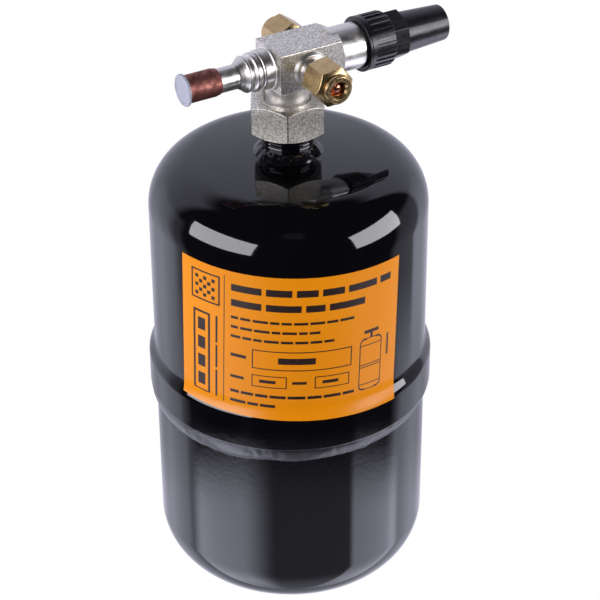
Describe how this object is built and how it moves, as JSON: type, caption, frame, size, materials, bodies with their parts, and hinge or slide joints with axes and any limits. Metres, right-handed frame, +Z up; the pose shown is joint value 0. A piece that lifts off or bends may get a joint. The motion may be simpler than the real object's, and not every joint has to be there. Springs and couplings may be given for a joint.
{
  "type": "vertical liquid receiver",
  "caption": "Upright refrigerant tank of two drawn steel cups with a banded lap weld, a paper label and an outlet shut-off valve with flare ports and capped spindle on the neck.",
  "frame": {"origin": "centre of the pressed flat that the tank stands on", "axes": "+Z up along the tank axis; +X along the valve axis towards the spindle cap, outlet tube towards -X; +Y towards the rear flare port"},
  "size_m": [0.1427, 0.1296, 0.2717],
  "materials": {
    "black_paint": "gloss black paint over drawn steel",
    "label_paper": null,
    "blasted_steel": "bead-blasted forged steel",
    "bright_steel": "turned steel, bright",
    "brass": "turned brass, slightly dull",
    "copper": "copper, heat-darkened at the brazed end",
    "plug_plastic": "translucent white polyethylene",
    "cap_plastic": "satin black moulded plastic",
    "seal_white": "white fluoropolymer seal"
  },
  "bodies": {
    "tank": {"lower_shell": "black_paint", "upper_shell": "black_paint", "girth_weld": "black_paint", "neck_weld": "black_paint", "inlet_weld": "black_paint", "inlet_stub": "black_paint", "outlet_neck": "black_paint", "dip_tube": "blasted_steel", "neck_gasket": "seal_white", "label": "label_paper", "valve_body": "blasted_steel", "union_nut": "blasted_steel", "outlet_nipple": "bright_steel", "outlet_tube": "copper", "packing_washer": "bright_steel", "gland_packing": "seal_white", "gland_nut": "brass"},
    "disc_body": {"valve_disc": "bright_steel"},
    "spindle_body": {"stem": "bright_steel"},
    "cap_seal_body": {"cap_gasket": "seal_white"},
    "cap_body": {"spindle_cap": "cap_plastic"},
    "front_bonnet_body": {"front_bonnet": "copper"},
    "front_nut_body": {"front_flare_nut": "brass"},
    "rear_bonnet_body": {"rear_bonnet": "copper"},
    "rear_nut_body": {"rear_flare_nut": "brass"},
    "plug_body": {"transport_plug": "plug_plastic"}
  },
  "joints": [
    {"name": "spindle_travel", "type": "slide", "parent": "tank", "child": "disc_body", "axis": [-1, 0, 0], "range_m": [0, 0.0078]},
    {"name": "spindle_turn", "type": "hinge", "parent": "disc_body", "child": "spindle_body", "pos_m": [0, 0, 0.2594], "axis": [-1, 0, 0], "range_deg": [0, 2246.4]},
    {"name": "cap_travel", "type": "slide", "parent": "tank", "child": "cap_seal_body", "axis": [1, 0, 0], "range_m": [0, 0.009]},
    {"name": "cap_turn", "type": "hinge", "parent": "cap_seal_body", "child": "cap_body", "pos_m": [0.04, 0, 0.2594], "axis": [1, 0, 0], "range_deg": [0, 2160]},
    {"name": "front_nut_travel", "type": "slide", "parent": "tank", "child": "front_bonnet_body", "axis": [0, -1, 0], "range_m": [0, 0.0085]},
    {"name": "front_nut_turn", "type": "hinge", "parent": "front_bonnet_body", "child": "front_nut_body", "pos_m": [0.0053, -0.025, 0.2594], "axis": [0, -1, 0], "range_deg": [0, 2409.45]},
    {"name": "rear_nut_travel", "type": "slide", "parent": "tank", "child": "rear_bonnet_body", "axis": [0, 1, 0], "range_m": [0, 0.0085]},
    {"name": "rear_nut_turn", "type": "hinge", "parent": "rear_bonnet_body", "child": "rear_nut_body", "pos_m": [0.0115, 0.025, 0.2594], "axis": [0, 1, 0], "range_deg": [0, 2409.45]},
    {"name": "plug_pull", "type": "slide", "parent": "tank", "child": "plug_body", "axis": [-1, 0, 0], "range_m": [0, 0.012]}
  ],
  "couplings": [
    {"joint": "spindle_travel", "follows": "spindle_turn", "m_per_rad": 0.00019894},
    {"joint": "cap_travel", "follows": "cap_turn", "m_per_rad": 0.00023873},
    {"joint": "front_nut_travel", "follows": "front_nut_turn", "m_per_rad": 0.00020213},
    {"joint": "rear_nut_travel", "follows": "rear_nut_turn", "m_per_rad": 0.00020213}
  ]
}
